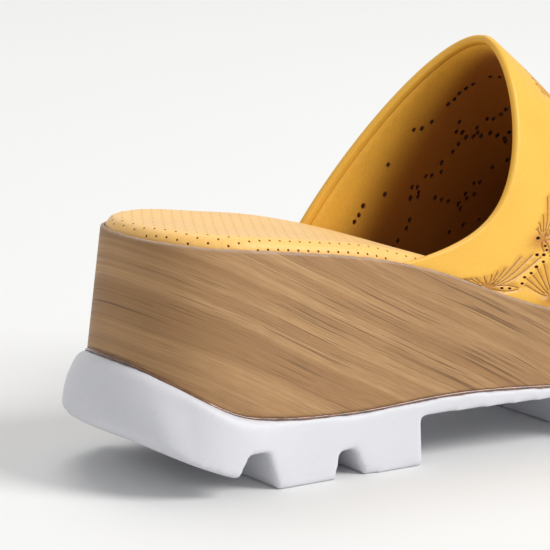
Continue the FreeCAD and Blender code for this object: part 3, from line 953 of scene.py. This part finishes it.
# The footbed: perforated cover over foam, crowned at its edge.
footbed = {
    "heelInset": 0.1,
    "foreInset": 3.1,
    "topRise": 3.3,
    "crownRadius": 4.2,
    "skirtDrop": 1.5,
    "skirtThickness": 0.85,
    "holePitch": 3.5,
    "holeRadius": 0.35,
    "holeDepth": 0.75,
    "perforatedTo": 172.0,
    "edgeClear": 1.0,
    "softness": 0.16,
    "softFrom": 26.0,       # millimetres in from the edge where the softness is full
    "heelCup": 0.5,
    "swell": 0.35,
    "colour": (0.88, 0.52, 0.14),
    "creaseColour": (0.70, 0.36, 0.09),
    "creaseTint": 0.2,
    "darker": 0.93,
    "toneSize": 30.0,
    "grainScale": 1300.0,
    "roughness": 0.42,
    "gloss": 0.40,
    "sheen": 0.25,
    "glow": 0.12,
    "bump": 0.25,
    # painted shade: on the footbed the burnt and toasted colours darken only the perforation pits, for the
    # shade inside a hole
    "burntAndPitShade": (0.06, 0.035, 0.02),
    "toastedAndPitShade": (0.55, 0.38, 0.26),
}


def makeFootbed():
    look = footbed
    radius = look["crownRadius"]
    unrolled = radius * (math.pi / 2 - 1)
    edge = ring + ringNormal * layerInset(ring[:, 0], look["heelInset"], look["foreInset"])[:, None]
    edgeNormal = ringNormals(edge)
    wide = (edge + edgeNormal * unrolled)[::2]
    wideNormal = edgeNormal[::2]
    finder = KDTree(len(wide))
    for i, (x, y) in enumerate(wide):
        finder.insert((x, y, 0), i)
    finder.balance()

    def shape(flat):
        # flat cover to its crowned shape over the foam, and the outward direction at each point
        nearest = np.array([finder.find((x, y, 0))[1] for x, y in flat])
        normal = wideNormal[nearest]
        inwards = np.einsum("ij,ij->i", wide[nearest] - flat, normal)
        turn = np.clip(inwards / radius, 0, math.pi / 2)
        onEdge = inwards < radius * math.pi / 2
        slide = np.where(onEdge, inwards - unrolled - radius * (1 - np.cos(turn)), 0)
        plan = flat + normal * slide[:, None]
        drop = radius * (1 - np.sin(turn))
        rise = look["topRise"] - drop
        depthInside = np.clip(inwards / look["softFrom"], 0, 1)
        cup = look["heelCup"] * smoothStep(depthInside) * smoothStep((90 - flat[:, 0]) / 60)
        puff = look["softness"] * noiseAt(np.column_stack((flat, flat[:, 0] * 0)), 0.045, 3.0)
        soft = look["swell"] * smoothStep(depthInside * 3) - cup + puff
        z = rimHeight(plan[:, 0]) + rise + soft * np.clip(inwards / 6, 0, 1)
        out = np.column_stack((normal * np.cos(turn)[:, None], np.sin(turn)))
        return np.column_stack((plan, z)), out

    rowGap = look["holePitch"] * math.sqrt(3) / 2
    centres = []
    for row in range(-15, 16):
        for x in np.arange(1.0 + (row % 2) * look["holePitch"] / 2, look["perforatedTo"], look["holePitch"]):
            centres.append((x, 1.2 + row * rowGap))
    centres = np.array(centres)
    roomy = insidePolygon(centres, wide) & (nearestDistance(centres, wide) > look["edgeClear"])
    centres = centres[roomy]
    angle = np.arange(8) * math.pi / 4
    unit = np.stack((np.cos(angle), np.sin(angle)), 1)
    halo = (centres[:, None] + unit * (look["holeRadius"] + 0.16)).reshape(-1, 2)
    mouth = (centres[:, None] + unit * look["holeRadius"]).reshape(-1, 2)
    throat = (centres[:, None] + unit * look["holeRadius"] * 0.8).reshape(-1, 2)
    lines = [np.vstack((m, m[:1])) for m in mouth.reshape(-1, 8, 2)]
    flat, faces, loops = fillSheet(wide, [], lines, np.concatenate((halo, throat, centres)), 3.4)
    top, out = shape(flat)
    distance = nearestDistance(flat, centres)
    # painted shade: the pit floors take the near-black burnt colour for the depth of a through hole, which
    # the shallow pits lack, and the ring at each mouth is darkened towards the toasted colour
    inHole = distance < look["holeRadius"] * 0.9
    sunk = np.where(inHole, look["holeDepth"], np.where(distance < look["holeRadius"] * 1.1, 0.06, 0))
    top -= out * sunk[:, None]
    burnAndPitShade = np.where(inHole, 1.0, np.where(distance < look["holeRadius"] * 1.1, 0.3, 0.0))

    bottomOutline = (edge - edgeNormal * look["skirtThickness"])[::2]
    flatIn, facesIn, loopsIn = fillSheet(bottomOutline, [], [], np.empty((0, 2)), 8.0)
    bottom = np.column_stack((flatIn, rimHeight(flatIn[:, 0]) + 0.03))
    outerWall = edge[::2]
    innerWall = bottomOutline
    rim = [np.column_stack((outerWall, rimHeight(outerWall[:, 0]) - look["skirtDrop"])),
           np.column_stack((innerWall, rimHeight(innerWall[:, 0]) - look["skirtDrop"]))]
    points, faces = closeSheets(top, bottom, loops, loopsIn, faces, facesIn, rim)
    piece = newPiece("footbedCushion", points, faces)
    paint(piece, "burnAndPitShade", np.concatenate((burnAndPitShade, np.zeros(len(points) - len(burnAndPitShade)))))
    piece.data.materials.append(dyedLeather("perforatedLeather", look))
    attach(piece, "root")
    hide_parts("footbed_cover", "footbed_foam")


makeFootbed()
print("footbed made")


# The wood-look wrap.
woodWrap = {
    "lipRadius": 0.95,
    "lipInside": 0.35,
    "lipNoise": 0.2,
    "innerDrop": 3.2,
    "wallRows": 26,
    "slope": math.radians(28.0),    # the grain falls towards the toe
    "light": (0.50, 0.295, 0.135),
    "middle": (0.35, 0.19, 0.08),
    "dark": (0.12, 0.058, 0.024),
    "lip": (0.40, 0.29, 0.22),
    "grainBend": 0.006,
    "streakTint": 0.42,
    "fibreTint": 0.16,
    "roughness": 0.52,
    "gloss": 0.35,
}


def makeWoodWrap():
    look = woodWrap
    loops = []
    marks = []
    thickness = lastShape["wrapThickness"]
    wobble = noiseAt(np.column_stack((ring, ring[:, 0] * 0)), 0.35, 5.0) * look["lipNoise"]
    wobble += noiseAt(np.column_stack((ring, ring[:, 0] * 0)), 1.1, 9.0) * look["lipNoise"] * 0.5

    def addLoop(offset, height, mark, lipShare=0.0):
        loop = ringPoints(lambda x, z: wallOffset(x, z) + offset, height)
        loop[:, 2] += wobble * lipShare
        loop[:, :2] += ringNormal * (wobble * 0.6 * lipShare)[:, None]
        loops.append(loop)
        marks.append(np.full(ringCount, mark))

    addLoop(-thickness, jointHeight, 0.0)
    addLoop(-0.25, jointHeight, 0.0)
    addLoop(0.0, lambda x: jointHeight(x) + 0.25, 0.0)
    rows = look["wallRows"]
    for row in range(1, rows):
        share = row / rows
        addLoop(0.0, lambda x, share=share: (
            jointHeight(x) + (rimHeight(x) - look["lipRadius"] - jointHeight(x)) * share), 0.0)
    for turn in np.linspace(0, math.pi / 2, 7):
        radius = look["lipRadius"]
        addLoop(-radius * (1 - math.cos(turn)),
                lambda x, turn=turn: rimHeight(x) - radius * (1 - math.sin(turn)),
                math.sin(turn) ** 0.7, math.sin(turn))
    for turn in np.linspace(0, math.pi / 2, 4)[1:]:
        radius = look["lipInside"]
        addLoop(-thickness + radius * (1 - math.sin(turn)) * (1 if turn < 1.5 else 0),
                lambda x, turn=turn: rimHeight(x) - radius * (1 - math.cos(turn)), 1.0, 1.0 - turn / math.pi)
    addLoop(-thickness, lambda x: rimHeight(x) - look["innerDrop"], 0.3)
    points = np.concatenate(loops)
    piece = newPiece("woodLookWrap", points, loopFaces(len(loops), ringCount))
    paint(piece, "lip", np.concatenate(marks))
    piece.data.materials.append(woodLook(look))
    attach(piece, "root")
    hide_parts("wedge_wrap")


def woodLook(look):
    material, tree, shader = newMaterial("woodLook")
    place = addNode(tree, "ShaderNodeTexCoord").outputs["Object"]
    grained = scaledCoordinates(tree, place, (1, 1, 1), (0, -look["slope"], 0))
    bend = addNode(tree, "ShaderNodeTexNoise", Scale=14.0, Detail=2.0)
    link(tree, place, bend.inputs["Vector"])
    shift = addNode(tree, "ShaderNodeVectorMath", operation="SCALE")
    link(tree, bend.outputs["Color"], shift.inputs[0])
    shift.inputs["Scale"].default_value = look["grainBend"]
    warped = addNode(tree, "ShaderNodeVectorMath", operation="ADD")
    link(tree, grained, warped.inputs[0])
    link(tree, shift.outputs[0], warped.inputs[1])
    warped = warped.outputs[0]

    bands = noiseMask(tree, scaledCoordinates(tree, warped, (4, 0.6, 190)), 1.0, 0.36, 0.64, 3.0, 0.5)
    streaks = noiseMask(tree, scaledCoordinates(tree, warped, (12, 2, 1300)), 1.0, 0.42, 0.62, 4.0, 0.6)
    darkLines = noiseMask(tree, scaledCoordinates(tree, warped, (17, 3, 1900)), 1.0, 0.53, 0.63, 3.0, 0.6)
    patches = noiseMask(tree, scaledCoordinates(tree, warped, (30, 10, 90)), 1.0, 0.42, 0.62, 2.0, 0.5)
    fibres = noiseMask(tree, scaledCoordinates(tree, warped, (150, 10, 3200)), 1.0, 0.35, 0.65, 2.0, 0.5)

    colour = mixColour(tree, bands, look["light"], look["middle"])
    colour = mixColour(tree, mathNode(tree, "MULTIPLY", streaks, look["streakTint"]), colour, look["middle"])
    lines = mathNode(tree, "MULTIPLY", darkLines, scaleAndAdd(tree, patches, 0.6, 0.12))
    colour = mixColour(tree, lines, colour, look["dark"])
    colour = mixColour(tree, mathNode(tree, "MULTIPLY", fibres, look["fibreTint"]), colour, look["dark"])
    tone = placeGroup(tree, toneGroup, Colour=colour, Size=24.0, Darker=0.86, Amount=0.6)
    lip = attributeOf(tree, "lip")
    wear = noiseMask(tree, place, 420.0, 0.3, 0.6, 5.0, 0.6)
    lipMask = mathNode(tree, "MULTIPLY", lip, scaleAndAdd(tree, wear, 0.5, 0.4))
    colour = mixColour(tree, lipMask, tone.outputs["Colour"], look["lip"])
    link(tree, colour, shader.inputs["Base Color"])
    rough = scaleAndAdd(tree, streaks, 0.12, look["roughness"])
    link(tree, rough, shader.inputs["Roughness"])
    shader.inputs["Specular IOR Level"].default_value = look["gloss"]
    height = scaleAndAdd(tree, darkLines, -0.8, mathNode(tree, "MULTIPLY", fibres, -0.3))
    bumpNormal(tree, shader, height, 0.35, 0.00012)
    return material


makeWoodWrap()
print("wrap made")


# The outsole and the cement line above it.
outsole = {
    "voxel": 0.00095,
    "heelBevel": 4.6,
    "edgeRadius": 1.3,
    "shoulderRadius": 3.4,
    "heelBulge": 1.7,
    "smoothing": 3,
    "footHeight": 12.0,
    "shoulderHeight": 36.0,
    "ledgeSide": 0.8,
    "ledgeHeel": 2.0,
    "kickSide": 1.2,
    "kickHeel": 6.4,
    "colour": (0.66, 0.665, 0.71),
    "speckColour": (0.42, 0.40, 0.38),
    "scuffColour": (0.50, 0.48, 0.45),
    "glow": 0.15,
    "roughness": 0.46,
    "gloss": 0.4,
}


def soleWall(x, z):
    # offset of the outsole's side wall outside the footbed outline
    kick = outsole["kickSide"] + (outsole["kickHeel"] - outsole["kickSide"]) * heelShare(x)
    ledge = outsole["ledgeSide"] + (outsole["ledgeHeel"] - outsole["ledgeSide"]) * heelShare(x)
    foot = wallOffset(x, outsole["footHeight"]) + kick
    shoulder = wallOffset(x, outsole["shoulderHeight"]) + ledge
    share = (z - outsole["footHeight"]) / (outsole["shoulderHeight"] - outsole["footHeight"])
    return foot + (shoulder - foot) * share


def makeOutsole():
    look = outsole
    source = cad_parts["outsole"]
    draft = bpy.data.objects.new("outsoleDraft", source.data.copy())
    bpy.context.scene.collection.objects.link(draft)
    remesh = draft.modifiers.new("remesh", "REMESH")
    remesh.mode = "VOXEL"
    remesh.voxel_size = look["voxel"]
    graph = bpy.context.evaluated_depsgraph_get()
    mesh = bpy.data.meshes.new_from_object(draft.evaluated_get(graph))
    bpy.data.objects.remove(draft)

    points = np.empty(len(mesh.vertices) * 3, np.float32)
    mesh.vertices.foreach_get("co", points)
    points = points.reshape(-1, 3).astype(float) / mm
    points -= np.array((lastShape["heelFromCentre"], lastShape["middleFromCentre"], 0))
    finder = KDTree(ringCount)
    for i, (x, y) in enumerate(ring):
        finder.insert((x, y, 0), i)
    finder.balance()
    nearest = np.array([finder.find((x, y, 0))[1] for x, y in points[:, :2]])
    normal = ringNormal[nearest]
    x, z = points[:, 0], points[:, 2]
    outside = np.einsum("ij,ij->i", points[:, :2] - ring[nearest], normal)
    inside = soleWall(x, z) - outside

    def roundCorner(height, radius):
        # moves points of a square corner onto an arc: height is the distance from the other face
        corner = (inside < radius) & (height < radius) & (height > -1)
        across = radius - inside
        up = radius - height
        length = np.maximum(np.hypot(across, up), 1e-6)
        push = np.where(corner & (length > radius), 1 - radius / length, 0)
        return across * push, up * push

    underside = strikeHeight(x)
    behind = smoothStep((6 - x) / 10)
    radius = look["edgeRadius"] + (look["heelBevel"] - look["edgeRadius"]) * behind
    inwards, upwards = roundCorner(np.where(x < 17, z - underside, 99), radius)
    points[:, :2] -= normal * inwards[:, None]
    points[:, 2] += upwards
    shoulder = look["edgeRadius"] * 0.5 + (look["shoulderRadius"] - look["edgeRadius"] * 0.5) * heelShare(x)
    inwards, downwards = roundCorner(jointHeight(x) - z, shoulder)
    points[:, :2] -= normal * inwards[:, None]
    points[:, 2] -= downwards
    level = np.clip((z - underside) / np.maximum(jointHeight(x) - underside, 1), 0, 1)
    bulge = (look["heelBulge"] * np.sin(level * math.pi) * smoothStep((4 - x) / 8)
             * (1 - smoothStep(inside / 8)))
    points[:, :2] += normal * bulge[:, None]

    edges = np.empty(len(mesh.edges) * 2, int)
    mesh.edges.foreach_get("vertices", edges)
    edges = edges.reshape(-1, 2)
    counts = np.bincount(edges.ravel(), minlength=len(points))[:, None]
    for sweep in range(look["smoothing"]):
        total = np.zeros_like(points)
        np.add.at(total, edges[:, 0], points[edges[:, 1]])
        np.add.at(total, edges[:, 1], points[edges[:, 0]])
        points = points * 0.4 + total / counts * 0.6
    points[:, 2] = np.maximum(points[:, 2], 0.0)
    mesh.vertices.foreach_set("co", toRow(points).astype(np.float32).ravel())
    mesh.shade_smooth()
    mesh.materials.clear()
    mesh.materials.append(mouldedWhite(look))
    mesh.update()
    piece = bpy.data.objects.new("outsoleMoulding", mesh)
    bpy.context.scene.collection.objects.link(piece)
    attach(piece, "root")
    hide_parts("outsole")


def mouldedWhite(look):
    material, tree, shader = newMaterial("mouldedWhite")
    place = addNode(tree, "ShaderNodeTexCoord").outputs["Object"]
    tone = placeGroup(tree, toneGroup, Colour=look["colour"], Size=18.0, Darker=0.93, Amount=0.8)
    specks = noiseMask(tree, place, 700.0, 0.70, 0.78, 2.0, 0.5)
    scuffs = noiseMask(tree, scaledCoordinates(tree, place, (90, 90, 420)), 1.0, 0.58, 0.75, 5.0, 0.65)
    colour = mixColour(tree, mathNode(tree, "MULTIPLY", specks, 0.35), tone.outputs["Colour"],
                       look["speckColour"])
    colour = mixColour(tree, mathNode(tree, "MULTIPLY", scuffs, 0.10), colour, look["scuffColour"])
    link(tree, colour, shader.inputs["Base Color"])
    rough = scaleAndAdd(tree, scuffs, 0.18, look["roughness"])
    link(tree, rough, shader.inputs["Roughness"])
    shader.inputs["Specular IOR Level"].default_value = look["gloss"]
    shader.inputs["Subsurface Weight"].default_value = look["glow"]
    shader.inputs["Subsurface Radius"].default_value = (0.003, 0.003, 0.0035)
    shader.inputs["Subsurface Scale"].default_value = 1.0
    mould = noiseMask(tree, place, 2400.0, 0.3, 0.7, 3.0, 0.5)
    bumpNormal(tree, shader, mould, 0.18, 0.00008)
    return material


cementLine = {
    "radius": 0.55,
    "rise": 0.2,
    "out": 0.1,
    "sides": 7,
    "slowSwell": 0.45,
    "quickSwell": 0.25,
    "colour": (0.12, 0.055, 0.032),
    "roughness": 0.22,
}


def makeCementLine():
    look = cementLine
    centre = ringPoints(lambda x, z: wallOffset(x, z) + look["out"], lambda x: jointHeight(x) + look["rise"])
    swell = (1 + look["slowSwell"] * noiseAt(centre, 0.22, 2.0)
             + look["quickSwell"] * noiseAt(centre, 0.9, 4.0))
    loops = []
    for side in range(look["sides"]):
        turn = 2 * math.pi * side / look["sides"]
        out = look["radius"] * swell * math.cos(turn)
        up = look["radius"] * swell * math.sin(turn)
        loops.append(np.column_stack((centre[:, :2] + ringNormal * out[:, None], centre[:, 2] + up)))
    piece = newPiece("cementLine", np.concatenate(loops), loopFaces(look["sides"], ringCount))
    material, tree, shader = newMaterial("driedCement")
    tone = placeGroup(tree, toneGroup, Colour=look["colour"], Size=160.0, Darker=1.9, Amount=0.9)
    link(tree, tone.outputs["Colour"], shader.inputs["Base Color"])
    shader.inputs["Roughness"].default_value = look["roughness"]
    shader.inputs["Coat Weight"].default_value = 0.4
    bumpNormal(tree, shader, tone.outputs["Mask"], 0.3, 0.0002)
    piece.data.materials.append(material)
    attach(piece, "root")


makeOutsole()
print("outsole made")
makeCementLine()
print("cement line made")


# Hidden CAD pieces keep their shape and get plain workshop finishes.
def fibreFinish(name, colour, size):
    material, tree, shader = newMaterial(name)
    tone = placeGroup(tree, toneGroup, Colour=colour, Size=size, Darker=0.75, Amount=0.9)
    link(tree, tone.outputs["Colour"], shader.inputs["Base Color"])
    shader.inputs["Roughness"].default_value = 0.85
    bumpNormal(tree, shader, tone.outputs["Mask"], 0.3, 0.0003)
    return material


hiddenFinishes = (
    ("wedge_core", "foamedCore", (0.62, 0.57, 0.48), 220.0),
    ("bottom_filler", "corkFiller", (0.42, 0.27, 0.15), 500.0),
    ("insole_board", "fibreBoard", (0.38, 0.28, 0.17), 380.0),
)
for node, name, colour, size in hiddenFinishes:
    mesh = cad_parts[node].data
    mesh.materials.clear()
    mesh.materials.append(fibreFinish(name, colour, size))


# Floor, light and camera.
studio = {
    "floorSize": 7.0,
    "floorColour": (0.775, 0.78, 0.782),
    "worldColour": (1.0, 0.997, 0.99),
    "worldStrength": 0.56,
    "lights": (  # name, place, aim, size, watts, colour
        ("windowRight", (1.45, -2.05, 2.0), (0.0, 0.0, 0.06), 1.6, 82.0, (1.0, 0.99, 0.97)),
        ("softTop", (0.5, 1.6, 3.0), (0.0, 0.0, 0.05), 2.4, 36.0, (1.0, 0.99, 0.97)),
    ),
}
view = {
    "place": (-0.56416, -0.75266, 0.24101),
    "heading": 33.536,      # degrees to the right of +Y
    "tilt": -11.635,
    "lens": 199.5,
}


def makeFloor():
    half = studio["floorSize"] / 2
    cells = 24
    steps = np.linspace(-half, half, cells + 1)
    points = [(x, y, 0.0) for y in steps for x in steps]
    row = cells + 1
    faces = [(j * row + i, j * row + i + 1, (j + 1) * row + i + 1, (j + 1) * row + i)
             for j in range(cells) for i in range(cells)]
    mesh = bpy.data.meshes.new("studioFloor")
    mesh.from_pydata(points, [], faces)
    floor = bpy.data.objects.new("studioFloor", mesh)
    bpy.context.scene.collection.objects.link(floor)
    material, tree, shader = newMaterial("paleFloor")
    tone = placeGroup(tree, toneGroup, Colour=studio["floorColour"], Size=1.2, Darker=0.985, Amount=0.6)
    link(tree, tone.outputs["Colour"], shader.inputs["Base Color"])
    shader.inputs["Roughness"].default_value = 0.75
    shader.inputs["Specular IOR Level"].default_value = 0.2
    mesh.materials.append(material)


def makeLights():
    for name, place, aim, size, watts, colour in studio["lights"]:
        lamp = bpy.data.lights.new(name, "AREA")
        lamp.shape = "DISK"
        lamp.size = size
        lamp.energy = watts
        lamp.color = colour
        light = bpy.data.objects.new(name, lamp)
        light.location = place
        light.rotation_euler = (Vector(aim) - Vector(place)).to_track_quat("-Z", "Y").to_euler()
        bpy.context.scene.collection.objects.link(light)
    world = bpy.data.worlds.new("paleRoom")
    world.use_nodes = True
    background = world.node_tree.nodes["Background"]
    background.inputs["Color"].default_value = (*studio["worldColour"], 1)
    background.inputs["Strength"].default_value = studio["worldStrength"]
    bpy.context.scene.world = world


def makeCamera():
    lens = bpy.data.cameras.new("productCamera")
    lens.lens = view["lens"]
    lens.sensor_width = 36.0
    lens.clip_end = 20.0
    camera = bpy.data.objects.new("productCamera", lens)
    camera.location = view["place"]
    heading = math.radians(view["heading"])
    tilt = math.radians(view["tilt"])
    aim = Vector((math.sin(heading) * math.cos(tilt), math.cos(heading) * math.cos(tilt), math.sin(tilt)))
    camera.rotation_euler = aim.to_track_quat("-Z", "Y").to_euler()
    bpy.context.scene.collection.objects.link(camera)
    bpy.context.scene.camera = camera


makeFloor()
makeLights()
makeCamera()
bpy.context.scene.view_settings.view_transform = "Standard"
print("studio made")
